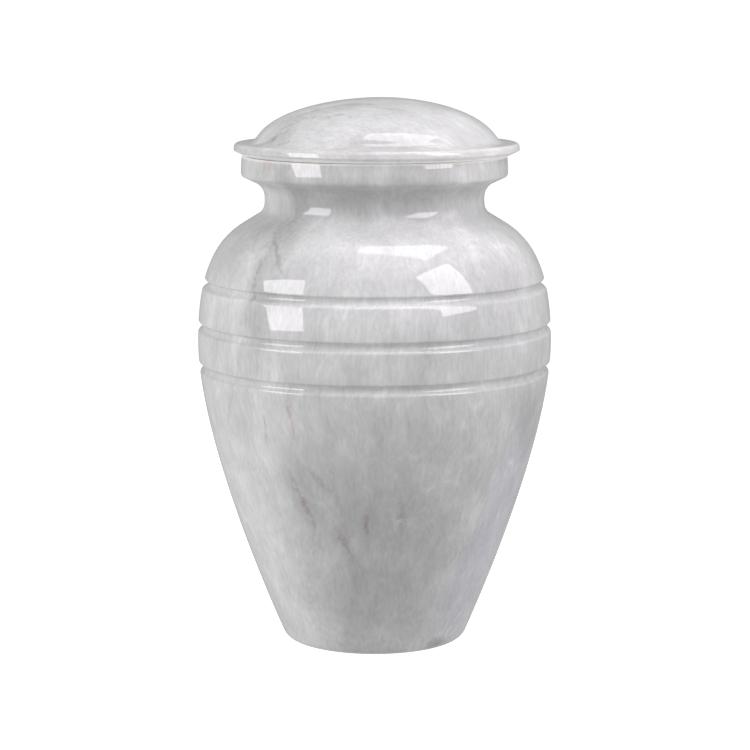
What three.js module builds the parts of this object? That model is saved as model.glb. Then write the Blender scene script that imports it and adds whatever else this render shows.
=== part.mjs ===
// A turned stone urn with a domed lid that lifts off.
// Millimetres, +Z up. The origin is the centre of the underside, and the front faces -Y.
// Every profile runs round the Z axis: a point's x is its radius and its y is its height.
import * as THREE from 'three';

// Foot
const FOOT_RADIUS = 47.0;         // where the rounded foot edge ends
const FOOT_EDGE_WIDTH = 4.4;      // the underside is flat inside the rounded edge
const FOOT_EDGE_HEIGHT = 3.4;
const FOOT_EDGE_FULLNESS = 1.7;
const FOOT_LEAN = 66.8;           // degrees from level, the belly's slope at the foot

// Belly and shoulder, each height counted from the one below it
const BELLY_RADIUS = 89.6;        // widest point
const BELLY_RISE = 153.0;         // underside to widest point
const SHOULDER_RISE = 60.6;       // widest point to the top of the shoulder
const SHOULDER_SLOPE = 31.3;      // degrees from level at the top of the shoulder
const BELLY_FULLNESS_AT_FOOT = 62.5;
const BELLY_FULLNESS_BELOW = 34.2;
const BELLY_FULLNESS_ABOVE = 43.2;
const SHOULDER_FULLNESS = 12.0;

// Three turned grooves that leave two bands between them
const TOP_GROOVE_RISE = 32.9;     // widest point to the upper lip of the top groove
const BAND_PITCHES = [21.4, 20.6];
const GROOVE_DEPTH = 2.1;
const GROOVE_LIP_ROUND = 1.0;
const GROOVE_BOTTOM_ROUND = 2.2;
const GROOVE_LOWER_ROUND = 1.8;

// Neck and collar
const NECK_RADIUS = 55.4;
const NECK_STEP = 9.8;            // neck to the top of the shoulder
const NECK_RISE = 23.4;           // top of the shoulder to the collar's lower edge
const NECK_LOWER_ROUND = 6.5;
const NECK_FLARE = 0.4;           // the neck widens by this much just above the shoulder
const NECK_FLARE_RISE = 5.0;
const NECK_FLARE_ROUND = 30.0;
const NECK_UPPER_ROUND = 8.5;
const COLLAR_OVERHANG = 11.85;    // neck to the collar's lower edge
const COLLAR_UNDER_SLOPE = 26;    // degrees from level
const COLLAR_HEIGHT = 10.0;
const COLLAR_LOWER_ROUND = 1.2;
const COLLAR_TAPER = 0.45;        // the collar's top edge sits this far inside its lower edge
const COLLAR_TAPER_RISE = 5.0;    // collar's lower edge to where its face starts to lean in
const COLLAR_TAPER_ROUND = 56.0;
const COLLAR_TOP_ROUND = 0.8;

// Hollow
const WALL = 10.0;
const FLOOR_THICKNESS = 15.0;
const FLOOR_ROUND = 5.0;
const NECK_WALL = 10.4;
const MOUTH_EDGE_ROUND = 1.5;

// Lid
const REST_GAP = 0.3;             // the lid's underside above the collar's flat top
const PLUG_CLEARANCE = 1.6;       // all round the plug in the mouth
const PLUG_DEPTH = 8.0;
const PLUG_EDGE_ROUND = 1.5;
const LID_SET_OVER = 0.7;         // share of the clearance that the lid sits to the right
const RIM_OVERHANG = 5.2;         // past the collar's top edge
const RIM_UNDER_SLOPE = 25;       // degrees from level
const RIM_TOP_RISE = 6.0;         // lid's underside to the rim's top edge
const RIM_LOWER_ROUND = 0.6;
const RIM_TOP_ROUND = 2.0;
const RIM_TAPER = 0.25;           // the rim's top edge sits this far inside its lower edge
const FLANGE_WIDTH = 12.18;        // rim's edge to the foot of the dome
const FLANGE_SLOPE = 3;           // degrees from level
const FLANGE_FILLET = 7.0;
const DOME_FOOT_RISE = 9.7;      // lid's underside to the foot of the dome
const DOME_FOOT_LEAN = 126.0;       // degrees from level
const LID_RISE = 28.7;            // lid's underside to the top of the dome
const DOME_FOOT_FULLNESS = 18.38;
const DOME_TOP_FULLNESS = 16.63;
const DOME_LEAN = 2.0;            // the polished top of the dome sits this far right of its foot
const DOME_LEAN_POWER = 3;

// Facets: how many round the axis, and how many along each stretch of a profile
const SEGMENTS = 44;
const FINE_STEPS = 400;
const FOOT_EDGE_STEPS = 3;
const BELLY_STEPS = 9;
const BAND_STEPS = 3;
const SHOULDER_STEPS = 6;
const LIP_STEPS = 2;
const GROOVE_BOTTOM_STEPS = 4;
const GROOVE_LOWER_STEPS = 2;
const EDGE_STEPS = 2;
const BEND_STEPS = 3;
const HOLLOW_BELLY_STEPS = 8;
const HOLLOW_SHOULDER_STEPS = 5;
const DOME_STEPS = 8;

// Sizes that follow from the ones above
const FOOT_FLAT_RADIUS = FOOT_RADIUS - FOOT_EDGE_WIDTH;
const SHOULDER_HEIGHT = BELLY_RISE + SHOULDER_RISE;
const SHOULDER_RADIUS = NECK_RADIUS + NECK_STEP;
const COLLAR_LOWER_HEIGHT = SHOULDER_HEIGHT + NECK_RISE;
const COLLAR_LOWER_RADIUS = NECK_RADIUS + COLLAR_OVERHANG;
const COLLAR_TOP_RADIUS = COLLAR_LOWER_RADIUS - COLLAR_TAPER;
const SEAT_HEIGHT = COLLAR_LOWER_HEIGHT + COLLAR_HEIGHT;
const MOUTH_RADIUS = NECK_RADIUS - NECK_WALL;
const LID_HEIGHT = SEAT_HEIGHT + REST_GAP;
const PLUG_RADIUS = MOUTH_RADIUS - PLUG_CLEARANCE;
const RIM_RADIUS = COLLAR_TOP_RADIUS + RIM_OVERHANG;
const DOME_FOOT_RADIUS = RIM_RADIUS - FLANGE_WIDTH;
const DOME_FOOT_HEIGHT = LID_HEIGHT + DOME_FOOT_RISE;
const DOME_TOP_HEIGHT = LID_HEIGHT + LID_RISE;

const radians = THREE.MathUtils.degToRad;
const slope = (degrees) => Math.tan(radians(degrees));
const point = (radius, height) => new THREE.Vector2(radius, height);
const heading = (degrees) => point(Math.cos(radians(degrees)), Math.sin(radians(degrees)));

// A smooth stretch that leaves one point and reaches the next in the given directions
function sweep(from, fromDegrees, fromFullness, to, toDegrees, toFullness) {
  const leave = heading(fromDegrees).multiplyScalar(fromFullness).add(from);
  const reach = heading(toDegrees).multiplyScalar(-toFullness).add(to);
  return new THREE.CubicBezierCurve(from, leave, reach, to);
}

// A run of straight lines whose corners are rounded
function rounded(corners) {
  const outline = [];
  corners.forEach((corner, i) => {
    const before = corners[i - 1];
    const after = corners[i + 1];
    if (!before || !after || !corner.round) {
      outline.push(corner.at.clone());
      return;
    }
    const back = before.at.clone().sub(corner.at);
    const ahead = after.at.clone().sub(corner.at);
    const turn = Math.PI - Math.acos(back.dot(ahead) / (back.length() * ahead.length()));
    const reach = corner.round * Math.tan(turn / 2);
    const start = back.setLength(reach).add(corner.at);
    const end = ahead.setLength(reach).add(corner.at);
    const middle = start.clone().add(end).multiplyScalar(0.5);
    const outward = middle.clone().sub(corner.at).setLength(corner.round / Math.cos(turn / 2));
    const centre = outward.add(corner.at);
    const startAngle = start.clone().sub(centre).angle();
    let sweepAngle = end.clone().sub(centre).angle() - startAngle;
    sweepAngle = Math.atan2(Math.sin(sweepAngle), Math.cos(sweepAngle));
    const steps = corner.steps ?? EDGE_STEPS;
    for (let k = 0; k <= steps; k += 1) {
      const angle = startAngle + sweepAngle * k / steps;
      outline.push(point(Math.cos(angle), Math.sin(angle)).multiplyScalar(corner.round).add(centre));
    }
  });
  return outline;
}

// The belly and shoulder before the grooves are turned into them
const belly = sweep(
  point(FOOT_RADIUS, FOOT_EDGE_HEIGHT), FOOT_LEAN, BELLY_FULLNESS_AT_FOOT,
  point(BELLY_RADIUS, BELLY_RISE), 90, BELLY_FULLNESS_BELOW,
);
const shoulder = sweep(
  point(BELLY_RADIUS, BELLY_RISE), 90, BELLY_FULLNESS_ABOVE,
  point(SHOULDER_RADIUS, SHOULDER_HEIGHT), 180 - SHOULDER_SLOPE, SHOULDER_FULLNESS,
);
const wallLine = [...belly.getPoints(FINE_STEPS), ...shoulder.getPoints(FINE_STEPS).slice(1)];

function radiusAt(height) {
  const above = wallLine.findIndex((p) => p.y >= height);
  const high = wallLine[Math.max(above, 1)];
  const low = wallLine[Math.max(above, 1) - 1];
  return THREE.MathUtils.mapLinear(height, low.y, high.y, low.x, high.x);
}

// A groove's section from its upper lip down, as drops below the lip and depths into the wall
function grooveSection() {
  const upperReach = GROOVE_LIP_ROUND + GROOVE_BOTTOM_ROUND;
  const lowerReach = GROOVE_BOTTOM_ROUND + GROOVE_LOWER_ROUND;
  const upperTurn = Math.acos(Math.max(0, 1 - GROOVE_DEPTH / upperReach));
  const lowerTurn = Math.acos(Math.max(0, 1 - GROOVE_DEPTH / lowerReach));
  const bottomDrop = upperReach * Math.sin(upperTurn);
  const endDrop = bottomDrop + lowerReach * Math.sin(lowerTurn);
  const section = [];
  const arc = (drop, depth, round, from, to, steps) => {
    for (let k = 0; k <= steps; k += 1) {
      const angle = THREE.MathUtils.lerp(from, to, k / steps);
      section.push({ drop: drop + round * Math.sin(angle), depth: depth - round * Math.cos(angle) });
    }
  };
  arc(0, GROOVE_LIP_ROUND, GROOVE_LIP_ROUND, 0, upperTurn, LIP_STEPS);
  section.pop();
  arc(
    bottomDrop, GROOVE_DEPTH - GROOVE_BOTTOM_ROUND, -GROOVE_BOTTOM_ROUND,
    upperTurn, -lowerTurn, GROOVE_BOTTOM_STEPS,
  );
  section.pop();
  arc(endDrop, GROOVE_LOWER_ROUND, GROOVE_LOWER_ROUND, -lowerTurn, 0, GROOVE_LOWER_STEPS);
  return section;
}

const groove = grooveSection();
const grooveWidth = groove[groove.length - 1].drop;
const topLip = BELLY_RISE + TOP_GROOVE_RISE;
const lips = [topLip, topLip - BAND_PITCHES[0], topLip - BAND_PITCHES[0] - BAND_PITCHES[1]];

// Points up the wall between two heights, both ends left out
function wallBetween(low, high, steps) {
  const run = [];
  for (let k = 1; k < steps; k += 1) {
    const height = THREE.MathUtils.lerp(low, high, k / steps);
    run.push(point(radiusAt(height), height));
  }
  return run;
}

function groovedWall() {
  const wall = [];
  let low = FOOT_EDGE_HEIGHT;
  let steps = BELLY_STEPS;
  for (const lip of [...lips].reverse()) {
    wall.push(...wallBetween(low, lip - grooveWidth, steps));
    for (const { drop, depth } of [...groove].reverse()) {
      wall.push(point(radiusAt(lip - drop) - depth, lip - drop));
    }
    low = lip;
    steps = BAND_STEPS;
  }
  wall.push(...wallBetween(low, SHOULDER_HEIGHT, SHOULDER_STEPS));
  return wall;
}

// The hollow follows the wall at its thickness, from the floor up to the mouth's bore
function hollow() {
  const inside = [];
  const stretches = [[belly, 0, HOLLOW_BELLY_STEPS], [shoulder, 1, HOLLOW_SHOULDER_STEPS]];
  for (const [curve, first, steps] of stretches) {
    for (let k = first; k <= steps; k += 1) {
      const across = curve.getTangent(k / steps).rotateAround(point(0, 0), Math.PI / 2);
      inside.push(curve.getPoint(k / steps).add(across.multiplyScalar(WALL)));
    }
  }
  // The roof of the hollow runs on under the shoulder until it meets the bore
  const roofEnd = inside[inside.length - 1];
  const roofRun = roofEnd.x - MOUTH_RADIUS;
  inside.push(point(MOUTH_RADIUS, roofEnd.y + roofRun * slope(SHOULDER_SLOPE)));
  const firstAbove = inside.findIndex((p) => p.y > FLOOR_THICKNESS);
  const high = inside[firstAbove];
  const low = inside[firstAbove - 1];
  const share = (FLOOR_THICKNESS - low.y) / (high.y - low.y);
  return [low.clone().lerp(high, share), ...inside.slice(firstAbove)];
}

function bodyOutline() {
  const [floorCorner, ...cavity] = hollow();
  const boreFoot = cavity[cavity.length - 1];
  const taperHeight = COLLAR_LOWER_HEIGHT + COLLAR_TAPER_RISE;
  const lowerNeck = SHOULDER_HEIGHT + (NECK_STEP - NECK_FLARE) * slope(SHOULDER_SLOPE);
  const upperNeck = COLLAR_LOWER_HEIGHT - COLLAR_OVERHANG * slope(COLLAR_UNDER_SLOPE);
  const footEdge = sweep(
    point(FOOT_FLAT_RADIUS, 0), 0, FOOT_EDGE_FULLNESS,
    point(FOOT_RADIUS, FOOT_EDGE_HEIGHT), FOOT_LEAN, FOOT_EDGE_FULLNESS,
  );
  const neckAndCollar = rounded([
    { at: point(SHOULDER_RADIUS, SHOULDER_HEIGHT) },
    { at: point(NECK_RADIUS + NECK_FLARE, lowerNeck), round: NECK_LOWER_ROUND, steps: BEND_STEPS },
    { at: point(NECK_RADIUS, lowerNeck + NECK_FLARE_RISE), round: NECK_FLARE_ROUND },
    { at: point(NECK_RADIUS, upperNeck), round: NECK_UPPER_ROUND, steps: BEND_STEPS },
    { at: point(COLLAR_LOWER_RADIUS, COLLAR_LOWER_HEIGHT), round: COLLAR_LOWER_ROUND },
    { at: point(COLLAR_LOWER_RADIUS, taperHeight), round: COLLAR_TAPER_ROUND },
    { at: point(COLLAR_TOP_RADIUS, SEAT_HEIGHT), round: COLLAR_TOP_ROUND },
    { at: point(MOUTH_RADIUS, SEAT_HEIGHT), round: MOUTH_EDGE_ROUND },
    { at: boreFoot },
  ]);
  const floor = rounded([
    { at: cavity[0] },
    { at: floorCorner, round: FLOOR_ROUND },
    { at: point(0, FLOOR_THICKNESS) },
  ]);
  return [
    point(0, 0),
    ...footEdge.getPoints(FOOT_EDGE_STEPS),
    ...groovedWall(),
    ...neckAndCollar.slice(0, -1),
    ...cavity.slice(1).reverse(),
    ...floor,
  ];
}

function lidOutline() {
  const underRim = LID_HEIGHT + RIM_OVERHANG * slope(RIM_UNDER_SLOPE);
  const rimTop = LID_HEIGHT + RIM_TOP_RISE;
  // Where the flange, running in from the rim, meets the line of the dome's foot
  const footRun = -1 / slope(DOME_FOOT_LEAN);
  const fall = (DOME_FOOT_HEIGHT - rimTop - FLANGE_WIDTH * slope(FLANGE_SLOPE))
    / (1 - footRun * slope(FLANGE_SLOPE));
  const flangeCorner = point(DOME_FOOT_RADIUS + fall * footRun, DOME_FOOT_HEIGHT - fall);
  const dome = sweep(
    point(DOME_FOOT_RADIUS, DOME_FOOT_HEIGHT), DOME_FOOT_LEAN, DOME_FOOT_FULLNESS,
    point(0, DOME_TOP_HEIGHT), 180, DOME_TOP_FULLNESS,
  );
  const rim = rounded([
    { at: point(0, LID_HEIGHT - PLUG_DEPTH) },
    { at: point(PLUG_RADIUS, LID_HEIGHT - PLUG_DEPTH), round: PLUG_EDGE_ROUND },
    { at: point(PLUG_RADIUS, LID_HEIGHT) },
    { at: point(COLLAR_TOP_RADIUS, LID_HEIGHT) },
    { at: point(RIM_RADIUS, underRim), round: RIM_LOWER_ROUND },
    { at: point(RIM_RADIUS - RIM_TAPER, rimTop), round: RIM_TOP_ROUND },
    { at: flangeCorner, round: FLANGE_FILLET, steps: BEND_STEPS },
    { at: point(DOME_FOOT_RADIUS, DOME_FOOT_HEIGHT) },
  ]);
  return [...rim, ...dome.getPoints(DOME_STEPS).slice(1)];
}

// LatheGeometry turns round Y, so the result is stood up on Z
function turned(outline) {
  return new THREE.LatheGeometry(outline, SEGMENTS).rotateX(Math.PI / 2);
}

// The dome's top leans over gently, and its foot and rim stay round the lid's own axis
function leanDome(geometry) {
  const places = geometry.attributes.position;
  for (let i = 0; i < places.count; i += 1) {
    const share = (places.getZ(i) - DOME_FOOT_HEIGHT) / (DOME_TOP_HEIGHT - DOME_FOOT_HEIGHT);
    const lean = DOME_LEAN * Math.max(0, share) ** DOME_LEAN_POWER;
    places.setX(i, places.getX(i) + lean);
  }
  return geometry;
}

const polishedStone = { color: 0xd9d9da, roughness: 0.18, metalness: 0 };

const urn = new THREE.Group();

const body = new THREE.Mesh(turned(bodyOutline()), new THREE.MeshStandardMaterial(polishedStone));
body.name = 'urn_body';
urn.add(body);

const lid = new THREE.Mesh(
  leanDome(turned(lidOutline())),
  new THREE.MeshStandardMaterial(polishedStone),
);
lid.name = 'lid';
lid.position.x = LID_SET_OVER * PLUG_CLEARANCE;
urn.add(lid);

export default urn;
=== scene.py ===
# %% [markdown]
# # A turned marble urn
#
# The urn is two pieces of pale marble, a hollow body and a domed lid, both turned on a lathe and
# polished. Nothing on them is carved by hand, so each piece is one outline carried round one axis,
# and almost everything that makes the urn look real is in the stone and in how it shines.
#
# The solids are measured first. What Blender makes must stay within them, so the boxes that hold
# them are kept from the start.

# %% Load the solids
import math

import bpy
from mathutils import Matrix, Vector


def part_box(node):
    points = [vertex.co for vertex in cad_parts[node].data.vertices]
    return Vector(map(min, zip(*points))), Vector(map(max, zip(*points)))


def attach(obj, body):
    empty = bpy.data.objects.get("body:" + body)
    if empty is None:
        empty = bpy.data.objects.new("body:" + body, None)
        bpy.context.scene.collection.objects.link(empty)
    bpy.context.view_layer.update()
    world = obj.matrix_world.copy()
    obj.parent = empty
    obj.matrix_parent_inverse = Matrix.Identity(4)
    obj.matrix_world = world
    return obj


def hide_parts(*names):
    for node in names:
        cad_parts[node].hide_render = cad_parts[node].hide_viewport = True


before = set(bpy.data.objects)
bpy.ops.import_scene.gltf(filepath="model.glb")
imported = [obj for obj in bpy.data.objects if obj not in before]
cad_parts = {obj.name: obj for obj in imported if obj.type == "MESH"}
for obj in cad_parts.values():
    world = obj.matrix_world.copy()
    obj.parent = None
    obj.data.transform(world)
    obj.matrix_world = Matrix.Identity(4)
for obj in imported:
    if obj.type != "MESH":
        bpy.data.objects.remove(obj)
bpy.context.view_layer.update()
MM = 0.001

_, body_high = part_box("urn_body")
lid_low, lid_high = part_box("lid")

# %% [markdown]
# ## The camera
#
# A long lens from a little above keeps the sides of the urn nearly parallel, as in a catalogue
# picture. Its height and tilt decide how round the grooves and the lid's rim look, so both were
# worked out from the ellipses that these make. The lens is given in pixels of a 750 pixel picture
# and turned into millimetres for a 36 mm sensor.

# %% Place the camera
SENSOR_WIDTH = 36.0
PICTURE_WIDTH = 750
LENS_IN_PIXELS = 2580
CAMERA_PLACE = (0.25 * MM, -1300 * MM, 335.3 * MM)
CAMERA_TILT = math.radians(8.76)
FARTHEST_SEEN = 200.0

camera_data = bpy.data.cameras.new("camera")
camera_data.sensor_width = SENSOR_WIDTH
camera_data.lens = SENSOR_WIDTH * LENS_IN_PIXELS / PICTURE_WIDTH
camera_data.clip_end = FARTHEST_SEEN
camera = bpy.data.objects.new("camera", camera_data)
camera.location = CAMERA_PLACE
camera.rotation_euler = (math.pi / 2 - CAMERA_TILT, 0, 0)
bpy.context.scene.collection.objects.link(camera)
bpy.context.scene.camera = camera
print("lens:", round(camera_data.lens, 1), "mm")

# %% [markdown]
# ## The outline of a turned piece
#
# On a lathe the stone spins and a tool cuts one line into it. That line is the whole shape, so the
# helpers below draw it as the turner would think of it: long sweeps that leave one point and reach
# the next in given directions, and straight runs whose corners are eased. All sizes are in
# millimetres, a point's x is its radius and its y is its height, and the points are closer together
# than on the solids, because a polished surface shows every flat.

# %% Helpers for drawing an outline
def point(radius, height):
    return Vector((radius, height))


def heading(degrees):
    return Vector((math.cos(math.radians(degrees)), math.sin(math.radians(degrees))))


def slope(degrees):
    return math.tan(math.radians(degrees))


def sweep(start, start_degrees, start_fullness, end, end_degrees, end_fullness, steps):
    """A smooth stretch between two points with a given direction and fullness at each."""
    leave = start + heading(start_degrees) * start_fullness
    reach = end - heading(end_degrees) * end_fullness
    run = []
    for k in range(steps + 1):
        t = k / steps
        near = (1 - t) ** 3 * start + 3 * (1 - t) ** 2 * t * leave
        run.append(near + 3 * (1 - t) * t ** 2 * reach + t ** 3 * end)
    return run


def eased(corners, steps):
    """Straight runs through (point, rounding) pairs, with each corner turned into an arc."""
    run = [corners[0][0]]
    for (before, _), (corner, rounding), (after, _) in zip(corners, corners[1:], corners[2:]):
        if not rounding:
            run.append(corner)
            continue
        back = before - corner
        ahead = after - corner
        turn = math.pi - back.angle(ahead)
        start = corner + back.normalized() * rounding * math.tan(turn / 2)
        inward = (back.normalized() + ahead.normalized()).normalized()
        centre = corner + inward * (rounding / math.cos(turn / 2))
        spoke = start - centre
        side = 1 if back.x * ahead.y - back.y * ahead.x < 0 else -1
        for k in range(steps + 1):
            angle = side * turn * k / steps
            cos, sin = math.cos(angle), math.sin(angle)
            run.append(centre + point(spoke.x * cos - spoke.y * sin, spoke.x * sin + spoke.y * cos))
    run.append(corners[-1][0])
    return run


test_arc = eased([(point(0, 0), 0), (point(10, 0), 2), (point(10, 10), 0)], 4)
print("a corner of rounding 2 becomes", [tuple(round(n, 2) for n in p) for p in test_arc])

# %% [markdown]
# ## Belly and shoulder
#
# Seen without its grooves, the body is two sweeps that meet upright at the widest line: a long full
# belly that leans out from the foot, and a shorter shoulder that rolls in to the neck. Two sweeps
# keep the widest line smooth, which matters because the light slides over it as one soft shade.

# %% Draw the plain wall
FOOT_RADIUS = 47.0
FOOT_EDGE_WIDTH = 4.4
FOOT_EDGE_HEIGHT = 3.4
FOOT_EDGE_FULLNESS = 1.7
FOOT_LEAN = 66.8
BELLY_RADIUS = body_high[0] / MM
BELLY_RISE = 153.0
BELLY_FULLNESS_AT_FOOT = 62.5
BELLY_FULLNESS_BELOW = 34.2
BELLY_FULLNESS_ABOVE = 43.2
SHOULDER_RISE = 60.6
SHOULDER_SLOPE = 31.3
SHOULDER_FULLNESS = 12.0
NECK_RADIUS = 55.4
NECK_STEP = 9.8
FINE_STEPS = 1200

shoulder_height = BELLY_RISE + SHOULDER_RISE
shoulder_top = point(NECK_RADIUS + NECK_STEP, shoulder_height)
belly_sizes = (
    point(FOOT_RADIUS, FOOT_EDGE_HEIGHT), FOOT_LEAN, BELLY_FULLNESS_AT_FOOT,
    point(BELLY_RADIUS, BELLY_RISE), 90, BELLY_FULLNESS_BELOW,
)
shoulder_sizes = (
    point(BELLY_RADIUS, BELLY_RISE), 90, BELLY_FULLNESS_ABOVE,
    shoulder_top, 180 - SHOULDER_SLOPE, SHOULDER_FULLNESS,
)
fine_wall = sweep(*belly_sizes, FINE_STEPS) + sweep(*shoulder_sizes, FINE_STEPS)[1:]


def wall_radius(height):
    """The plain wall's radius at a height."""
    for low, high in zip(fine_wall, fine_wall[1:]):
        if high.y >= height:
            return low.x + (high.x - low.x) * (height - low.y) / (high.y - low.y)
    return fine_wall[-1].x


def wall_between(low, high, steps):
    """Points up the plain wall between two heights, both ends left out."""
    heights = [low + (high - low) * k / steps for k in range(1, steps)]
    return [point(wall_radius(height), height) for height in heights]


print("radius at mid height:", round(wall_radius(BELLY_RISE / 2), 1), "mm")

# %% [markdown]
# ## Three grooves and two bands
#
# Each groove is cut by a round-nosed tool and polished afterwards, so its upper lip is crisp, its
# bottom is round and its lower lip is soft. The section is three arcs that touch each other. It is
# written once, as drops below the upper lip and depths into the wall, and set into the wall at
# three heights.

# %% Cut the grooves into the wall
TOP_GROOVE_RISE = 32.9
BAND_PITCHES = (21.4, 20.6)
GROOVE_DEPTH = 2.1
GROOVE_LIP_ROUND = 1.0
GROOVE_BOTTOM_ROUND = 2.2
GROOVE_LOWER_ROUND = 1.8
LIP_STEPS = 8
GROOVE_BOTTOM_STEPS = 16
BELLY_STEPS = 60
BAND_STEPS = 16
SHOULDER_STEPS = 40


def groove_section():
    """(drop, depth) pairs from the upper lip down."""
    upper_reach = GROOVE_LIP_ROUND + GROOVE_BOTTOM_ROUND
    lower_reach = GROOVE_BOTTOM_ROUND + GROOVE_LOWER_ROUND
    upper_turn = math.acos(max(0, 1 - GROOVE_DEPTH / upper_reach))
    lower_turn = math.acos(max(0, 1 - GROOVE_DEPTH / lower_reach))
    bottom_drop = upper_reach * math.sin(upper_turn)
    end_drop = bottom_drop + lower_reach * math.sin(lower_turn)
    arcs = (
        (0, GROOVE_LIP_ROUND, GROOVE_LIP_ROUND, 0, upper_turn, LIP_STEPS),
        (bottom_drop, GROOVE_DEPTH - GROOVE_BOTTOM_ROUND, -GROOVE_BOTTOM_ROUND,
         upper_turn, -lower_turn, GROOVE_BOTTOM_STEPS),
        (end_drop, GROOVE_LOWER_ROUND, GROOVE_LOWER_ROUND, -lower_turn, 0, LIP_STEPS),
    )
    section = [(0, 0)]
    for drop, depth, rounding, first, last, steps in arcs:
        for k in range(1, steps + 1):
            angle = first + (last - first) * k / steps
            section.append((drop + rounding * math.sin(angle), depth - rounding * math.cos(angle)))
    return section


def grooved_wall():
    """The wall from the foot's edge to the top of the shoulder, both ends left out."""
    section = groove_section()
    top_lip = BELLY_RISE + TOP_GROOVE_RISE
    lips = (top_lip - sum(BAND_PITCHES), top_lip - BAND_PITCHES[0], top_lip)
    wall = []
    low = FOOT_EDGE_HEIGHT
    steps = BELLY_STEPS
    for lip in lips:
        wall += wall_between(low, lip - section[-1][0], steps)
        for drop, depth in reversed(section):
            wall.append(point(wall_radius(lip - drop) - depth, lip - drop))
        low = lip
        steps = BAND_STEPS
    return wall + wall_between(low, shoulder_height, SHOULDER_STEPS)


body_wall = grooved_wall()
groove_width = groove_section()[-1][0]
print("groove:", round(groove_width, 2), "mm wide;", len(body_wall), "points up the wall")

# %% [markdown]
# ## Neck, collar and hollow
#
# Above the shoulder the wall turns up into a short neck, flares out under the collar and ends in a
# flat seat for the lid. The seat's height is read off the solid. The neck widens a little before it
# meets the shoulder and the collar's face leans in a little above its middle: both are too slight
# to measure on the outline, but the lamps' reflections are stretched and cut short by them. Inside,
# the turner has followed the outside at an even thickness down to a flat floor. Nobody sees it with
# the lid on, but a vessel without a hollow would be wrong as soon as the lid comes off.

# %% Draw the body's outline
NECK_RISE = 23.4
NECK_LOWER_ROUND = 6.5
NECK_FLARE = 0.4
NECK_FLARE_RISE = 5.0
NECK_FLARE_ROUND = 30.0
NECK_UPPER_ROUND = 8.5
COLLAR_OVERHANG = 11.85
COLLAR_UNDER_SLOPE = 25.5
COLLAR_LOWER_ROUND = 2.0
COLLAR_TAPER = 0.45
COLLAR_TAPER_RISE = 5.0
COLLAR_TAPER_ROUND = 56.0
COLLAR_TOP_ROUND = 0.8
WALL = 10.0
FLOOR_THICKNESS = 15.0
FLOOR_ROUND = 5.0
NECK_WALL = 10.4
MOUTH_EDGE_ROUND = 1.5
CORNER_STEPS = 10
HOLLOW_STEPS = 28
FOOT_STEPS = 10

seat_height = body_high[2] / MM
mouth_radius = NECK_RADIUS - NECK_WALL
collar_radius = NECK_RADIUS + COLLAR_OVERHANG
seat_radius = collar_radius - COLLAR_TAPER


def neck_and_collar():
    collar_height = shoulder_height + NECK_RISE
    lower_neck = shoulder_height + (NECK_STEP - NECK_FLARE) * slope(SHOULDER_SLOPE)
    upper_neck = collar_height - COLLAR_OVERHANG * slope(COLLAR_UNDER_SLOPE)
    corners = [
        (shoulder_top, 0),
        (point(NECK_RADIUS + NECK_FLARE, lower_neck), NECK_LOWER_ROUND),
        (point(NECK_RADIUS, lower_neck + NECK_FLARE_RISE), NECK_FLARE_ROUND),
        (point(NECK_RADIUS, upper_neck), NECK_UPPER_ROUND),
        (point(collar_radius, collar_height), COLLAR_LOWER_ROUND),
        (point(collar_radius, collar_height + COLLAR_TAPER_RISE), COLLAR_TAPER_ROUND),
        (point(seat_radius, seat_height), COLLAR_TOP_ROUND),
        (point(mouth_radius, seat_height), MOUTH_EDGE_ROUND),
        (point(mouth_radius, shoulder_height), 0),
    ]
    return eased(corners, CORNER_STEPS)[:-1]


def hollow():
    """The hollow's outline from the mouth's bore down to the middle of the floor."""
    inside = []
    for sizes in (belly_sizes, shoulder_sizes):
        run = sweep(*sizes, HOLLOW_STEPS)
        for low, high in zip(run, run[1:]):
            along = (high - low).normalized()
            inside.append((low + high) / 2 + point(-along.y, along.x) * WALL)
    roof_run = inside[-1].x - mouth_radius
    roof = point(mouth_radius, inside[-1].y + roof_run * slope(SHOULDER_SLOPE))
    inside = [p for p in inside if p.y > FLOOR_THICKNESS + FLOOR_ROUND] + [roof]
    low, high = inside[0], inside[1]
    reach = (FLOOR_THICKNESS - low.y) / (high.y - low.y)
    floor_corner = low + (high - low) * reach
    floor = eased(
        [(inside[0], 0), (floor_corner, FLOOR_ROUND), (point(0, FLOOR_THICKNESS), 0)], CORNER_STEPS)
    return inside[:0:-1] + floor


def body_outline():
    """Stretches of the outline from the middle of the underside to the middle of the floor."""
    foot_edge = sweep(
        point(FOOT_RADIUS - FOOT_EDGE_WIDTH, 0), 0, FOOT_EDGE_FULLNESS,
        point(FOOT_RADIUS, FOOT_EDGE_HEIGHT), FOOT_LEAN, FOOT_EDGE_FULLNESS, FOOT_STEPS)
    return [
        ("honed", [point(0, 0), foot_edge[0]]),
        ("polished", foot_edge[1:] + body_wall + neck_and_collar()),
        ("honed", hollow()),
    ]


body_stretches = body_outline()
print("body outline:", sum(len(run) for _, run in body_stretches), "points")
print("the seat is", round(seat_height, 1), "mm up")

# %% [markdown]
# ## The lid's outline
#
# The lid is a low dome on a flat flange with a proud rim, and a shallow plug under it keeps it from
# sliding off. The plug is smaller than the mouth all round, so a real lid never sits quite true:
# this one rests a little to the right, and the polishing wheel has taken more off one side of the
# dome, so that its top leans the same way. Both are read off the solid.

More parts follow.
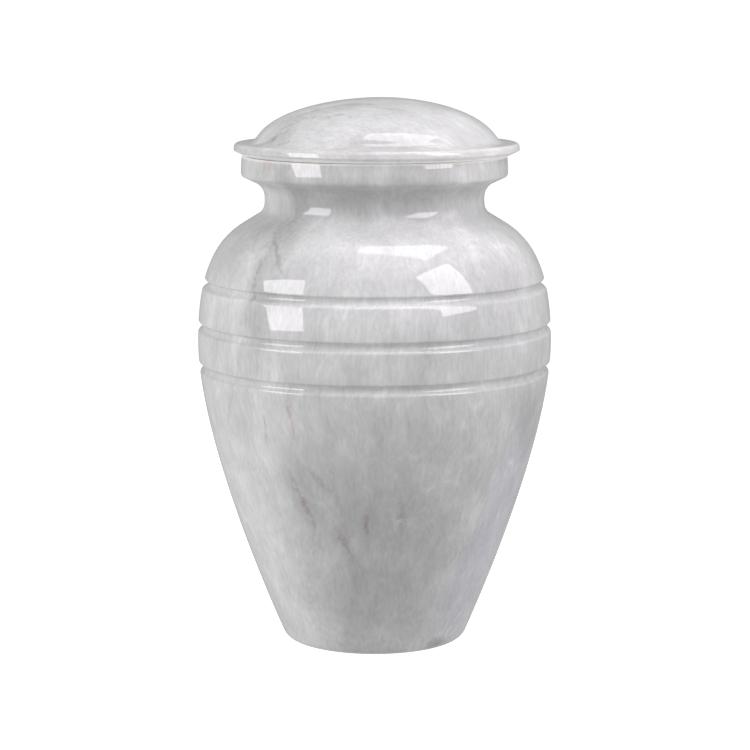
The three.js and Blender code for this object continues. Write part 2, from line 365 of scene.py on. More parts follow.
# %% Draw the lid's outline
REST_GAP = 0.3
PLUG_CLEARANCE = 1.6
PLUG_DEPTH = 8.0
PLUG_EDGE_ROUND = 1.5
RIM_UNDER_SLOPE = 25
RIM_TOP_RISE = 6.0
RIM_LOWER_ROUND = 0.6
RIM_TOP_ROUND = 2.0
RIM_TAPER = 0.25
FLANGE_WIDTH = 12.18
FLANGE_SLOPE = 3
FLANGE_FILLET = 7.0
DOME_FOOT_RISE = 9.7
DOME_FOOT_LEAN = 126
DOME_FOOT_FULLNESS = 18.38
DOME_TOP_FULLNESS = 16.63
DOME_STEPS = 70

lid_axis = (lid_low[0] + lid_high[0]) / 2
rim_radius = (lid_high[0] - lid_low[0]) / 2 / MM
lid_height = seat_height + REST_GAP
rim_edge = lid_height + (rim_radius - seat_radius) * slope(RIM_UNDER_SLOPE)
dome_foot = point(rim_radius - FLANGE_WIDTH, lid_height + DOME_FOOT_RISE)
dome_top = point(0, lid_high[2] / MM)


def lid_outline():
    """Stretches of the outline from the middle of the plug's face to the top of the dome."""
    plug_radius = mouth_radius - PLUG_CLEARANCE
    rim_top = lid_height + RIM_TOP_RISE
    foot_run = -1 / slope(DOME_FOOT_LEAN)
    fall = dome_foot.y - rim_top - FLANGE_WIDTH * slope(FLANGE_SLOPE)
    fall /= 1 - foot_run * slope(FLANGE_SLOPE)
    flange_corner = dome_foot + point(fall * foot_run, -fall)
    plug = eased([
        (point(0, lid_height - PLUG_DEPTH), 0),
        (point(plug_radius, lid_height - PLUG_DEPTH), PLUG_EDGE_ROUND),
        (point(plug_radius, lid_height), 0),
    ], CORNER_STEPS)
    rim = eased([
        (point(seat_radius, lid_height), 0),
        (point(rim_radius, rim_edge), RIM_LOWER_ROUND),
        (point(rim_radius - RIM_TAPER, rim_top), RIM_TOP_ROUND),
        (flange_corner, FLANGE_FILLET),
        (dome_foot, 0),
    ], CORNER_STEPS)
    dome = sweep(
        dome_foot, DOME_FOOT_LEAN, DOME_FOOT_FULLNESS, dome_top, 180, DOME_TOP_FULLNESS, DOME_STEPS)
    return [("honed", plug), ("polished", rim + dome[1:])]


lid_stretches = lid_outline()
print("lid outline:", sum(len(run) for _, run in lid_stretches), "points")
print("the lid's axis is", round(lid_axis / MM, 2), "mm to the right")

# %% [markdown]
# ## A short way to write nodes
#
# The turning below and the stone further down are both built from nodes. Written one call at a
# time they can't be read, so one small class wraps a socket and lets it stand in ordinary sums:
# 1 - mask adds a Math node. A second class holds a tree and makes any other node from its type,
# its settings and what goes into its sockets.

# %% Wrap sockets and trees
class Value:
    """A socket that stands in sums like a number."""

    def __init__(self, tree, socket):
        self.tree = tree
        self.socket = socket

    def sum(self, operation, *values):
        return self.tree.node("ShaderNodeMath", {"operation": operation}, dict(enumerate(values)))

    def __add__(self, other):
        return self.sum("ADD", self, other)

    def __sub__(self, other):
        return self.sum("SUBTRACT", self, other)

    def __rsub__(self, other):
        return self.sum("SUBTRACT", other, self)

    def __mul__(self, other):
        return self.sum("MULTIPLY", self, other)

    def __truediv__(self, other):
        return self.sum("DIVIDE", self, other)

    def __rtruediv__(self, other):
        return self.sum("DIVIDE", other, self)

    def __pow__(self, other):
        return self.sum("POWER", self, other)

    __radd__ = __add__
    __rmul__ = __mul__

    def clamped(self):
        return self.tree.node("ShaderNodeClamp", {}, {"Value": self})

    def other(self, name):
        """Another output of the same node."""
        return Value(self.tree, pick(self.socket.node.outputs, name))


def pick(sockets, key):
    """A socket by its number, its name or its identifier."""
    if isinstance(key, int):
        return sockets[key]
    return next(s for s in sockets if s.enabled and key in (s.name, s.identifier))


class Tree:
    """A node tree that makes nodes in one call."""

    def __init__(self, tree):
        self.tree = tree
        tree.nodes.clear()

    def node(self, kind, settings, values, output=0):
        made = self.tree.nodes.new(kind)
        for name, setting in settings.items():
            setattr(made, name, setting)
        for key, value in values.items():
            socket = pick(made.inputs, key)
            if isinstance(value, Value):
                self.tree.links.new(value.socket, socket)
            else:
                socket.default_value = value
        if not made.outputs:
            return made
        return Value(self, pick(made.outputs, output))


print("sums can use", sorted(name for name in vars(Value) if name.startswith("__r")))

# %% [markdown]
# ## The lathe
#
# A turned piece follows one rule, so a Geometry Nodes tree makes it: a grid with one row for each
# point of the outline and one column for each facet round the axis is bent round until its edges
# meet. The Spin tool would do it too, but here the facets, the axis and the leaning of the top stay
# inputs that can be changed afterwards. The tree also carries a number called polish on to the
# surface, 1 where the wheel reached and 0 where the stone is only ground smooth.

# %% Build the lathe's tree
LATHE_INPUTS = (
    ("Outline", "NodeSocketGeometry"),
    ("Facets", "NodeSocketInt"),
    ("Axis X", "NodeSocketFloat"),
    ("Lean", "NodeSocketFloat"),
    ("Lean Starts", "NodeSocketFloat"),
    ("Lean Ends", "NodeSocketFloat"),
    ("Stone", "NodeSocketMaterial"),
)
GRID_SIZE = 1.0
LEAN_POWER = 3
SEAM_REACH = 0.002 * MM


def build_lathe():
    group = bpy.data.node_groups.new("lathe", "GeometryNodeTree")
    for name, kind in LATHE_INPUTS:
        group.interface.new_socket(name=name, in_out="INPUT", socket_type=kind)
    group.interface.new_socket(name="Turned", in_out="OUTPUT", socket_type="NodeSocketGeometry")
    tree = Tree(group)
    given = tree.node("NodeGroupInput", {}, {})
    outline = given.other("Outline")
    rows = tree.node(
        "GeometryNodeAttributeDomainSize", {"component": "MESH"}, {"Geometry": outline})
    grid = tree.node("GeometryNodeMeshGrid", {}, {
        "Size X": GRID_SIZE, "Size Y": GRID_SIZE,
        "Vertices X": given.other("Facets") + 1, "Vertices Y": rows,
    })
    flat = tree.node("GeometryNodeInputPosition", {}, {})
    across = tree.node("ShaderNodeSeparateXYZ", {}, {"Vector": flat})
    turn = (across + GRID_SIZE / 2) * math.tau
    row = (across.other("Y") + GRID_SIZE / 2) * (rows - 1)
    nearest_row = row.sum("FLOOR", row + 0.5)

    def from_outline(kind, value):
        sample = {"Geometry": outline, "Value": value, "Index": nearest_row}
        return tree.node("GeometryNodeSampleIndex", {"data_type": kind, "domain": "POINT"}, sample)

    radius = tree.node("ShaderNodeSeparateXYZ", {}, {"Vector": from_outline("FLOAT_VECTOR", flat)})
    height = radius.other("Z")
    polish = tree.node(
        "GeometryNodeInputNamedAttribute", {"data_type": "FLOAT"}, {"Name": "polish"})
    polished = from_outline("FLOAT", polish)
    starts = given.other("Lean Starts")
    share = ((height - starts) / (given.other("Lean Ends") - starts)).clamped()
    middle = given.other("Axis X") + given.other("Lean") * share ** LEAN_POWER
    bent = tree.node("ShaderNodeCombineXYZ", {}, {
        "X": middle + radius * turn.sum("COSINE", turn),
        "Y": radius * turn.sum("SINE", turn),
        "Z": height,
    })
    marked = tree.node(
        "GeometryNodeStoreNamedAttribute", {"data_type": "FLOAT", "domain": "POINT"},
        {"Geometry": grid, "Name": "polish", "Value": polished})
    round_piece = tree.node("GeometryNodeSetPosition", {}, {"Geometry": marked, "Position": bent})
    closed = tree.node(
        "GeometryNodeMergeByDistance", {}, {"Geometry": round_piece, "Distance": SEAM_REACH})
    smooth = tree.node("GeometryNodeSetShadeSmooth", {}, {"Geometry": closed})
    real = tree.node("GeometryNodeRealizeInstances", {}, {"Geometry": smooth})
    finished = tree.node(
        "GeometryNodeSetMaterial", {}, {"Geometry": real, "Material": given.other("Stone")})
    tree.node("NodeGroupOutput", {}, {"Turned": finished})
    return group


lathe = build_lathe()
print("the lathe has", len(lathe.nodes), "nodes")

# %% [markdown]
# ## The stone
#
# The marble is nearly white. What tells it from plaster is structure at many scales: soft clouds a
# few centimetres wide, blotches inside them, wide bands and finer streaks that run up the piece,
# short fibres inside the streaks, white hairs and a fine grain. All of it is noise in the stone
# itself, read at the surface's own place, so it runs on round the back without a seam. Stretching a
# noise along one direction turns its blobs into streaks, and bending the place first, by a slow
# noise and a quicker one, keeps them from looking ruled.

# %% Mix the marble's own pattern
CLOUDS = {"scale": 15.0, "detail": 2.0, "depth": 0.30}
BLOTCHES = {"scale": 60.0, "detail": 4.0, "depth": 0.26}
BANDS = {"scale": 46.0, "detail": 2.0, "depth": 0.16, "stretch": 0.14}
STREAKS = {"scale": 170.0, "detail": 3.0, "depth": 0.26, "stretch": 0.16}
FIBRES = {"scale": 620.0, "detail": 3.0, "depth": 0.36, "stretch": 0.24}
GRAIN = {"scale": 1100.0, "detail": 2.0, "depth": 0.12}
HAIRS = {"scale": 120.0, "detail": 1.0, "depth": 0.13, "stretch": 0.28}
HAIR_SHARPNESS = 16.0
HAIR_PATCH_GAIN = 5.0
SLOW_BEND = {"scale": 14.0, "reach": 0.016}
QUICK_BEND = {"scale": 70.0, "reach": 0.0045}
BEND_DETAIL = 1.0
COMMON_DETAIL = 2.0
NOISE_MIDDLE = 0.5


def noise(tree, place, scale, detail=COMMON_DETAIL, output="Fac"):
    values = {"Vector": place, "Scale": scale, "Detail": detail}
    return tree.node("ShaderNodeTexNoise", {"noise_dimensions": "3D"}, values, output)


def scaled(tree, vector, amount):
    return tree.node("ShaderNodeVectorMath", {"operation": "SCALE"}, {0: vector, "Scale": amount})


def pushed(tree, place, bend):
    """The place in the stone, pushed about by a noise."""
    push = noise(tree, place, bend["scale"], BEND_DETAIL, "Color")
    middle = (NOISE_MIDDLE, NOISE_MIDDLE, NOISE_MIDDLE)
    centred = tree.node("ShaderNodeVectorMath", {"operation": "SUBTRACT"}, {0: push, 1: middle})
    moved = {0: place, 1: scaled(tree, centred, bend["reach"])}
    return tree.node("ShaderNodeVectorMath", {"operation": "ADD"}, moved)


def layer(tree, place, look):
    """One layer of the pattern, lighter and darker than 0 by up to half its depth."""
    if "stretch" in look:
        drawn_out = {"Vector": place, "Scale": (1, 1, look["stretch"])}
        place = tree.node("ShaderNodeMapping", {"vector_type": "POINT"}, drawn_out)
    return (noise(tree, place, look["scale"], look["detail"]) - NOISE_MIDDLE) * look["depth"]


def hairs(tree, place):
    """Thin pale lines where a drawn-out noise passes through its middle."""
    ridge = layer(tree, place, {**HAIRS, "depth": 1.0})
    line = (1 - ridge.sum("ABSOLUTE", ridge) * HAIR_SHARPNESS).clamped()
    patches = ((noise(tree, place, BLOTCHES["scale"]) - NOISE_MIDDLE) * HAIR_PATCH_GAIN).clamped()
    return line * patches * HAIRS["depth"]


def own_pattern(tree, block):
    """How light the stone is of itself, about 1."""
    bent = pushed(tree, pushed(tree, block, SLOW_BEND), QUICK_BEND)
    shade = 1 + layer(tree, block, CLOUDS) + layer(tree, bent, BLOTCHES) + layer(tree, bent, BANDS)
    shade = shade + layer(tree, bent, STREAKS) + layer(tree, bent, FIBRES)
    return shade + layer(tree, block, GRAIN) + hairs(tree, bent)


print("the finest fibres are about", round(1 / FIBRES["scale"] / MM, 1), "mm wide")

# %% [markdown]
# ## What the marks paint
#
# Noise alone would make any block. This one is stained down the left of the shoulder and bluish at
# the lower right, with a few thin veins, some of them rusty. Its dome is darker and streaked on the
# left. The belly is greyer down its middle, partly from grey in the stone and partly as painted
# shade. Painted shade darkens the neck, where the collar shades it, and the dome's fillet. Painted
# light makes the front of the shoulder and the bands, the right of the collar and the lower left of
# the belly paler, and a painted highlight in the middle of the dome widens the overhead lamp's
# reflection. A few more patches only make the stone darker or paler.
# Each of these is a soft ellipse. Its middle is given first, then come its tilt, half its length
# and half its width in millimetres, how much darker it makes the stone, or paler if that is less
# than 0, and its tint. On the body a middle is so many degrees to the right of the front, and so
# high. On the dome, which is read from above, it is so far to the right of the urn's axis and so
# far behind it. A short list of places was chosen because this is how a mason describes a block,
# and any line of it can be moved or left out.

# %% List the marks
PLAIN = (1.0, 1.0, 1.0, 1.0)
EARTH = (1.0, 0.95, 0.91, 1.0)
RUST = (1.0, 0.87, 0.85, 1.0)
LILAC = (0.925, 0.915, 1.0, 1.0)
BODY_STAINS_AND_PAINTED_SHADING = (
    # grey down the middle of the belly, partly grey in the stone and partly painted shade
    (0, 70, 0, 92, 64, 0.13, PLAIN),
    (5, 60, 0, 66, 33, 0.14, PLAIN),
    # painted shade on the neck, where the collar shades it
    (0, 230, 90, 75, 12, 0.26, PLAIN),
    # darker on the left of the collar and the shoulder
    (-62, 204, 0, 24, 24, 0.20, PLAIN),
    (-52, 214, 0, 14, 14, 0.12, PLAIN),
    # painted light on the right of the shoulder
    (38, 216, 90, 18, 8, -0.12, PLAIN),
    # darker on the right of the belly
    (66, 122, 0, 28, 24, 0.15, PLAIN),
    # painted light on the front of the shoulder and the bands and on the right of the collar
    (5, 206, 90, 72, 16, -0.08, PLAIN),
    (0, 176, 90, 50, 15, -0.19, PLAIN),
    (60, 176, 90, 24, 17, -0.10, PLAIN),
    (52, 241, 90, 34, 8, -0.14, PLAIN),
    # darker on the left of the collar
    (-50, 240, 90, 16, 9, 0.14, PLAIN),
    # painted light on the lower left of the belly, down to the foot
    (-50, 60, 0, 75, 28, -0.12, PLAIN),
    (-18, 52, 0, 26, 10, -0.08, PLAIN),
    (-38, 16, 90, 20, 14, -0.10, PLAIN),
    # the stone's own: a bluish patch, halos round rusty veins, a swirl, a stain and a brown spot
    (57, 58, -12, 78, 24, -0.04, LILAC),
    (-27, 88, 18, 26, 9, 0.13, PLAIN),
    (-12, 60, 20, 12, 6, 0.08, PLAIN),
    (-2, 72, 0, 16, 5, 0.08, PLAIN),
    (-50, 121, 0, 17, 13, 0.13, PLAIN),
    (-40, 203, 0, 62, 11, 0.22, PLAIN),
    (-50, 246, 0, 5, 5, 0.08, EARTH),
    # painted light on the shoulder, left of the front
    (-22, 216, 90, 18, 9, -0.09, PLAIN),
    # a smudge near the foot
    (42, 4, 90, 8, 4, 0.32, PLAIN),
)
BODY_VEINS = (
    (-43, 192, 0, 26, 2.0, 0.20, EARTH),
    (-38, 204, 44, 18, 1.6, 0.24, PLAIN),
    (-42, 218, 6, 17, 3.0, 0.16, PLAIN),
    (-35, 180, 0, 24, 2.6, 0.12, PLAIN),
    (-46, 162, -8, 20, 3.0, 0.12, PLAIN),
    (-54, 130, -22, 14, 1.8, 0.14, PLAIN),
    (-28, 127, 0, 17, 1.5, 0.12, RUST),
    (-38, 119, 0, 10, 1.3, 0.12, RUST),
    (-27, 84, 18, 19, 2.2, 0.22, RUST),
    (-20, 95, 46, 15, 2.2, 0.18, PLAIN),
    (-12, 60, 20, 10, 2.0, 0.22, RUST),
    (-3, 71, 0, 14, 1.6, 0.14, RUST),
    (10, 76, 0, 11, 2.8, 0.18, PLAIN),
    (50, 12, -35, 16, 0.8, -0.20, PLAIN),
)
DOME_STAINS_AND_PAINTED_SHADING = (
    # darker on the upper left of the dome
    (-27, -26, 90, 38, 9, 0.17, PLAIN),
    (-49, -36, 90, 14, 9, 0.13, PLAIN),
    # a painted highlight that widens the overhead lamp's reflection, then painted shade on the
    # fillet
    (12, -47, 90, 30, 7, -0.12, PLAIN),
    (12, -61, 90, 46, 5, 0.14, PLAIN),
    # paler on the right of the dome, and a brown spot
    (42, -24, 90, 12, 12, -0.08, PLAIN),
    (-52, -30, 60, 5, 3, 0.10, EARTH),
)
DOME_VEINS = (
    (-10, -24, 84, 14, 1.8, 0.30, PLAIN),
    (-28, -22, 96, 16, 1.5, 0.28, PLAIN),
    (-36, -31, 80, 15, 1.4, 0.26, PLAIN),
    (-51, -30, 60, 13, 2.0, 0.28, PLAIN),
    (-46, -41, 55, 10, 1.5, 0.25, PLAIN),
    (-20, -38, 75, 14, 1.2, 0.22, PLAIN),
    (8, -33, 80, 12, 1.2, 0.18, PLAIN),
)
print(len(BODY_STAINS_AND_PAINTED_SHADING), "shades and", len(BODY_VEINS), "veins on the body")
print(len(DOME_STAINS_AND_PAINTED_SHADING), "shades and", len(DOME_VEINS), "veins on the dome")

# %% [markdown]
# ## From a list to stains, veins and painted shading
#
# A stain follows the bed of the stone and a vein is a filled crack, so neither has a ruled edge,
# and the patches of painted light and shade are drawn the same way. Each mark starts as an ellipse,
# drawn on the wall as if it were unrolled, or on the dome as if it were flat. A painted picture
# could carry them too, but it would blur close up and need a seam. So the place is bent by noise
# before it is compared with the ellipse, which frays the edge. The veins are bent once more, more
# finely, and a third noise breaks them up, so that they come and go along their length. The marks
# multiply one another, so stains and painted shade that overlap deepen softly.

# %% Draw the marks
MARK_BEND = {"scale": 110.0, "reach": 0.006}
VEIN_BEND = {"scale": 420.0, "reach": 0.0022}
VEIN_BREAKS = {"scale": 330.0, "least": 0.36, "gain": 5.0}


def radius_at(at):
    east, north = at, at.other("Y")
    return (east ** 2 + north ** 2) ** 0.5


def unrolled(at, turn_at, height_at):
    """How far aside of a mark's middle, and above it, a place on the wall is."""
    turn = at.sum("ARCTAN2", at, 0 - at.other("Y"))
    return (turn - math.radians(turn_at)) * radius_at(at), at.other("Z") - height_at * MM


def from_above(at, east_at, north_at):
    """The same for a place on the dome, seen from above."""
    return at - east_at * MM, at.other("Y") - north_at * MM


def ellipse(aside, above, tilt, half_length, half_width):
    """How far inside one ellipse a place is, from 0 at its edge to 1 in its middle."""
    cos, sin = math.cos(math.radians(tilt)), math.sin(math.radians(tilt))
    along = (above * cos - aside * sin) / (half_length * MM)
    across = (above * sin + aside * cos) / (half_width * MM)
    return (1 - along * along - across * across).clamped()


def marked(tree, place, measure, shades, veins):
    """The shade of all the marks together, 1 where there are none, and their tint."""
    bent = pushed(tree, place, MARK_BEND)
    jagged = pushed(tree, bent, VEIN_BEND)
    broken = (noise(tree, place, VEIN_BREAKS["scale"]) - VEIN_BREAKS["least"]) * VEIN_BREAKS["gain"]
    shade = 1.0
    tint = PLAIN
    for kind, bent_place, strength in ((shades, bent, 1.0), (veins, jagged, broken.clamped())):
        at = tree.node("ShaderNodeSeparateXYZ", {}, {"Vector": bent_place})
        for first, second, *sizes, depth, colour in kind:
            inside = ellipse(*measure(at, first, second), *sizes) * strength
            shade = shade * (1 - inside * depth)
            if colour != PLAIN:
                mixed = {"Factor_Float": inside, "A_Color": tint, "B_Color": colour}
                tint = tree.node("ShaderNodeMix", {"data_type": "RGBA"}, mixed, "Result_Color")
    return shade, tint


print("marks are bent by up to", round(MARK_BEND["reach"] / MM / 2, 1), "mm")

# %% [markdown]
# ## Painted light under the rim
#
# Marble lets a little light in. Where the lid's rim overhangs the collar the stone is thin, and the
# seam under it lies in the rim's shade. It would be black if the stone were solid paint, but it
# comes out warm and pale. Subsurface scattering could work this out, but it takes long and hardly
# reaches so narrow a place. A faint glow is painted there instead, painted light that lifts the
# shade: full in the seam, gone about a millimetre down the collar, and weaker on the rim's own
# edge.

# %% Paint light into the seam under the rim
PAINTED_SEAM_LIGHT = 0.22
PAINTED_SEAM_LIGHT_COLOUR = (1.0, 0.93, 0.91)
SEAM_DEPTH = 3.0
COLLAR_GLOW_REACH = 1.3
RIM_GLOW_WIDTH = 1.0
RIM_GLOW_SHARE = 0.50


def ramp(value, dark, bright):
    """A mask that goes from 0 to 1 as a size goes from dark to bright, both in millimetres."""
    return ((value - dark * MM) / ((bright - dark) * MM)).clamped()


def outer_seam(at):
    """1 at the collar's edge, 0 where the seam is too deep for light to reach."""
    return ramp(radius_at(at), seat_radius - SEAM_DEPTH, seat_radius)


# Painted light on the top of the collar, in the rim's shade.
def collar_painted_light(at):
    return outer_seam(at) * ramp(at.other("Z"), seat_height - COLLAR_GLOW_REACH, seat_height)


# Painted light on the rim's underside in the seam, and weaker painted light on the rim's outer
# edge.
def rim_painted_light(at):
    edge = ramp(radius_at(at), rim_radius - RIM_GLOW_WIDTH, rim_radius - RIM_GLOW_WIDTH / 2)
    return outer_seam(at) * ramp(at.other("Z"), rim_edge, lid_height) + edge * RIM_GLOW_SHARE


print("the glow is full from", round(seat_height, 1), "to", round(lid_height, 1), "mm")

# %% [markdown]
# ## Two marbles from one recipe
#
# The lid was sawn from the block at another angle than the body, so its streaks run another way.
# One recipe makes both: the stone's white times its own pattern, its marks and their tint. The
# polish that the lathe's tree left on the surface decides the roughness, so the outside mirrors the
# lamps and the hollow, which is only ground smooth, stays dull. No clear coat is laid over it,
# because polished stone shines by itself.

# %% Make the two marbles
POLISHED_ROUGHNESS = 0.035
HONED_ROUGHNESS = 0.45
STONE_WHITE = (0.744, 0.754, 0.746, 1.0)
STONE_IOR = 1.6
BODY_GRAIN_TURN = 0.0
LID_GRAIN_TURN = math.radians(50)


def multiplied(tree, colour, other):
    settings = {"data_type": "RGBA", "blend_type": "MULTIPLY"}
    values = {"Factor_Float": 1.0, "A_Color": colour, "B_Color": other}
    return tree.node("ShaderNodeMix", settings, values, "Result_Color")


def marble(name, grain_turn, marks, glow):
    """A polished marble whose streaks run along Z once the stone is turned by grain_turn."""
    stone = bpy.data.materials.new(name)
    stone.use_nodes = True
    tree = Tree(stone.node_tree)
    place = tree.node("ShaderNodeTexCoord", {}, {}, "Object")
    turned = {"Vector": place, "Rotation": (0, grain_turn, 0)}
    block = tree.node("ShaderNodeMapping", {"vector_type": "POINT"}, turned)
    shade, tint = marked(tree, place, *marks)
    white = multiplied(tree, STONE_WHITE, own_pattern(tree, block) * shade)
    polish = tree.node("ShaderNodeAttribute", {"attribute_name": "polish"}, {}, "Fac")
    roughness = HONED_ROUGHNESS + polish * (POLISHED_ROUGHNESS - HONED_ROUGHNESS)
    at = tree.node("ShaderNodeSeparateXYZ", {}, {"Vector": place})
    surface = tree.node("ShaderNodeBsdfPrincipled", {}, {
        "Base Color": multiplied(tree, white, tint), "Roughness": roughness, "IOR": STONE_IOR,
        # The emission is painted light that lifts the shade in the seam under the lid's rim.
        "Emission Color": scaled(tree, PAINTED_SEAM_LIGHT_COLOUR, glow(at)),
        "Emission Strength": PAINTED_SEAM_LIGHT,
    })
    tree.node("ShaderNodeOutputMaterial", {}, {"Surface": surface})
    return stone


body_marks = (unrolled, BODY_STAINS_AND_PAINTED_SHADING, BODY_VEINS)
dome_marks = (from_above, DOME_STAINS_AND_PAINTED_SHADING, DOME_VEINS)
body_stone = marble("body marble", BODY_GRAIN_TURN, body_marks, collar_painted_light)
lid_stone = marble("lid marble", LID_GRAIN_TURN, dome_marks, rim_painted_light)
print("marbles:", body_stone.name, "and", lid_stone.name)

# %% [markdown]
# ## Turning the two pieces
#
# Each outline becomes a line of vertices with its polish on them, the lathe's tree turns it, and
# the result is taken as a plain mesh, because the pieces have to stand without the tree. Edges that
# turn by more than the sharp angle stay sharp, and everything else is shaded smooth.

# %% Turn the body and the lid
FACETS = 224
SHARP_ANGLE = math.radians(35)


def outline_object(name, stretches):
    points = [p for _, run in stretches for p in run]
    polish = [1.0 if finish == "polished" else 0.0 for finish, run in stretches for _ in run]
    mesh = bpy.data.meshes.new(name)
    edges = [(k, k + 1) for k in range(len(points) - 1)]
    mesh.from_pydata([(p.x * MM, 0, p.y * MM) for p in points], edges, [])
    marks = mesh.attributes.new("polish", "FLOAT", "POINT")
    marks.data.foreach_set("value", polish)
    outline = bpy.data.objects.new(name, mesh)
    bpy.context.scene.collection.objects.link(outline)
    return outline


def turn_piece(name, stretches, sizes):
    """Turns an outline and gives the result as a plain mesh."""
    outline = outline_object(name + "_outline", stretches)
    modifier = outline.modifiers.new("lathe", "NODES")
    modifier.node_group = lathe
    for item in lathe.interface.items_tree:
        if item.name in sizes:
            modifier[item.identifier] = sizes[item.name]
    seen = outline.evaluated_get(bpy.context.evaluated_depsgraph_get())
    mesh = bpy.data.meshes.new_from_object(seen)
    outline.modifiers.remove(modifier)
    bpy.data.objects.remove(outline)
    mesh.materials.clear()
    mesh.materials.append(sizes["Stone"])
    mesh.polygons.foreach_set("material_index", [0] * len(mesh.polygons))
    mesh.set_sharp_from_angle(angle=SHARP_ANGLE)
    piece = bpy.data.objects.new(name, mesh)
    bpy.context.scene.collection.objects.link(piece)
    return piece


def lean_of_the_top():
    """How far the solid lid's topmost corner stands to the right of the lid's axis."""
    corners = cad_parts["lid"].data.vertices
    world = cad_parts["lid"].matrix_world
    top = max((world @ corner.co for corner in corners), key=lambda place: place.z)
    return top.x - lid_axis


turned_body = turn_piece("turned_body", body_stretches, {
    "Facets": FACETS, "Axis X": 0.0, "Lean": 0.0,
    "Lean Starts": 0.0, "Lean Ends": seat_height * MM, "Stone": body_stone,
})
turned_lid = turn_piece("turned_lid", lid_stretches, {
    "Facets": FACETS, "Axis X": lid_axis, "Lean": lean_of_the_top(),
    "Lean Starts": dome_foot.y * MM, "Lean Ends": dome_top.y * MM, "Stone": lid_stone,
})
print("the top of the dome leans", round(lean_of_the_top() / MM, 2), "mm")
for piece, node in ((turned_body, "urn_body"), (turned_lid, "lid")):
    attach(piece, "root")
    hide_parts(node)
    print(piece.name, "has", len(piece.data.polygons), "faces")

# %% [markdown]
# ## The floor
#
# The urn is shown on white, so the floor is a plain pale sheet that turns up into a wall a long way
# off. It glows a little by itself, which keeps it white where the lamps don't reach. Bounced light
# from so bright a floor would wash out the shade under the belly, so the floor is hidden from it
# and the light from below is set with the rest of the studio instead.

# %% Lay the floor
FLOOR_REACH = 45.0
WALL_RISE = 40.0
FLOOR_SIDES = 48
FLOOR_PALE = (0.9, 0.9, 0.9, 1.0)
FLOOR_ROUGHNESS = 0.8
FLOOR_GLOW_COLOUR = (1.0, 1.0, 1.0, 1.0)
FLOOR_GLOW = 0.75


def floor_paint():
    paint = bpy.data.materials.new("floor paint")
    paint.use_nodes = True
    tree = Tree(paint.node_tree)
    surface = tree.node("ShaderNodeBsdfPrincipled", {}, {
        "Base Color": FLOOR_PALE, "Roughness": FLOOR_ROUGHNESS, "Specular IOR Level": 0.0,
        "Emission Color": FLOOR_GLOW_COLOUR, "Emission Strength": FLOOR_GLOW,
    })
    tree.node("ShaderNodeOutputMaterial", {}, {"Surface": surface})
    return paint


def lay_floor():
    turns = [math.tau * k / FLOOR_SIDES for k in range(FLOOR_SIDES)]
    rim = [(FLOOR_REACH * math.cos(turn), FLOOR_REACH * math.sin(turn)) for turn in turns]
    corners = [(x, y, 0) for x, y in rim] + [(x, y, WALL_RISE) for x, y in rim]
    around = [(k, (k + 1) % FLOOR_SIDES) for k in range(FLOOR_SIDES)]
    wall = [(after, k, k + FLOOR_SIDES, after + FLOOR_SIDES) for k, after in around]
    mesh = bpy.data.meshes.new("floor")
    mesh.from_pydata(corners, [], [tuple(range(FLOOR_SIDES))] + wall)
    mesh.materials.append(floor_paint())
    floor = bpy.data.objects.new("floor", mesh)
    floor.visible_diffuse = False
    floor.visible_glossy = False
    floor.visible_shadow = False
    bpy.context.scene.collection.objects.link(floor)
    return floor


floor = lay_floor()
print("floor:", len(floor.data.polygons), "faces, its wall", FLOOR_REACH, "m off")

# %% [markdown]
# ## The studio
#
# Polished stone shows its lamps, so the lamps can be found from it. Each bright patch was traced
# back from the camera, off the surface and out into the room, and the corners of the patches gave
# three softboxes: one low on the left, one on the right, and one overhead. Each hangs by three
# measured things, its place and the directions of its width and its height, and faces the urn. They
# are a faint pink, which shows only in the patches.

# %% Hang the softboxes
SOFTBOXES = {
    "left softbox": {
        "place": (-0.686, -0.383, 0.351), "across": (-0.781, 0.622, -0.055),
        "up": (0.432, 0.601, 0.673), "width": 0.414, "height": 0.468, "watts": 3.0,
    },
    "right softbox": {
        "place": (0.562, -0.467, 0.525), "across": (0.246, 0.968, -0.040),
        "up": (-0.556, 0.175, 0.812), "width": 0.403, "height": 0.525, "watts": 3.35,
    },
    "overhead softbox": {
        "place": (0.092, -0.102, 0.886), "across": (0.663, 0.042, -0.747),
        "up": (0.244, 0.932, 0.269), "width": 0.584, "height": 0.281, "watts": 1.65,
    },
}
SOFTBOX_TINT = (1.0, 0.945, 1.0)
AIM = Vector((0, 0, 0.2))


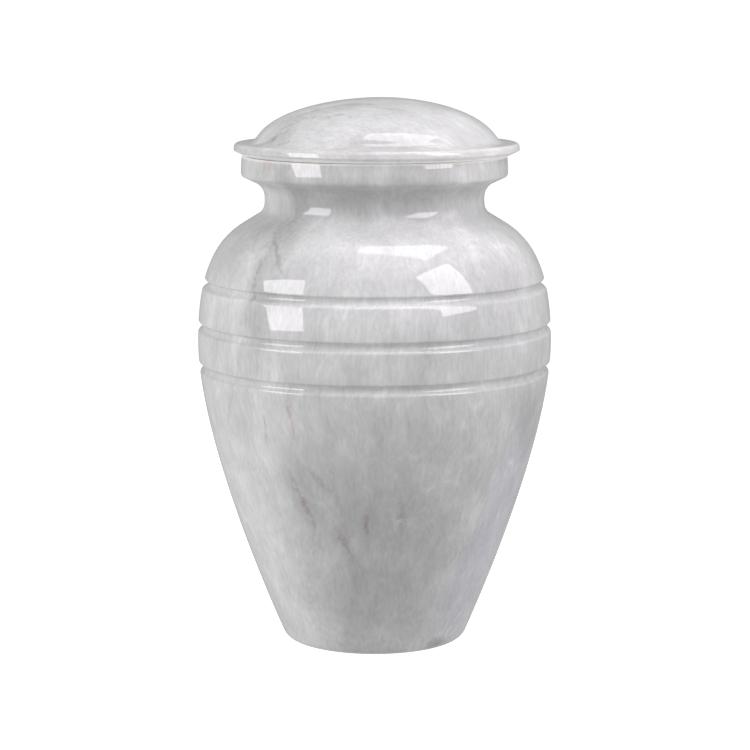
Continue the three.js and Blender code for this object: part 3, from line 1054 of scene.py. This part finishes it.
def hang(name, box):
    lamp = bpy.data.lights.new(name, "AREA")
    lamp.shape = "RECTANGLE"
    lamp.size = box["width"]
    lamp.size_y = box["height"]
    lamp.energy = box["watts"]
    lamp.color = SOFTBOX_TINT
    place = Vector(box["place"])
    across = Vector(box["across"]).normalized()
    behind = across.cross(Vector(box["up"])).normalized()
    if behind.dot(place - AIM) < 0:
        across, behind = -across, -behind
    up = behind.cross(across)
    hung = bpy.data.objects.new(name, lamp)
    facing = Matrix((across, up, behind)).transposed().to_4x4()
    hung.matrix_world = Matrix.Translation(place) @ facing
    hung.visible_camera = False
    bpy.context.scene.collection.objects.link(hung)
    return hung


for name, box in SOFTBOXES.items():
    hung = hang(name, box)
    print(name, "stands", round((hung.location - AIM).length, 2), "m off")

# %% [markdown]
# ## The room
#
# Everything between the lamps is a dim room, and the stone shows that too. It could be built out of
# walls and white cards, but it is only ever seen in a curved surface, so a sky that is brighter in
# some directions does as well and renders faster. It is brightest above, on the left, and below,
# where the floor would send light up. The levels were set one at a time until the belly, the bands
# and the dome had the right shades.

# %% Light the room
ROOM_LEVEL = 0.035
ROOM_ABOVE = 0.60
ROOM_LEFT = 0.50
ROOM_RIGHT = 0.22
ROOM_FRONT = 0.09
ROOM_BEHIND = 0.32
ROOM_BELOW = 0.55
ABOVE_POWER = 3
SIDE_POWER = 2
ROOM_TINT = (0.99, 1.0, 0.99)

world = bpy.data.worlds.new("room")
world.use_nodes = True
bpy.context.scene.world = world
bpy.context.scene.view_settings.view_transform = "Standard"

room = Tree(world.node_tree)
facing = room.node("ShaderNodeTexCoord", {}, {}, "Generated")
right = room.node("ShaderNodeSeparateXYZ", {}, {"Vector": facing})
back = right.other("Y")
up = right.other("Z")


def towards(direction, power=1):
    """How much a look into the room goes in a direction, and 0 when it goes the other way."""
    return direction.sum("MAXIMUM", direction, 0.0) ** power


level = ROOM_LEVEL + ROOM_ABOVE * towards(up, ABOVE_POWER) + ROOM_BELOW * towards(0 - up)
level = level + ROOM_LEFT * towards(0 - right, SIDE_POWER) + ROOM_RIGHT * towards(right, SIDE_POWER)
level = level + ROOM_BEHIND * towards(back, SIDE_POWER) + ROOM_FRONT * towards(0 - back, SIDE_POWER)
glow = room.node("ShaderNodeBackground", {}, {"Color": scaled(room, ROOM_TINT, level)})
room.node("ShaderNodeOutputWorld", {}, {"Surface": glow})
print("the room's tree has", len(world.node_tree.nodes), "nodes")

# %% [markdown]
# ## The size of the pieces
#
# The finished pieces have to fill the solids' box and stay inside it.
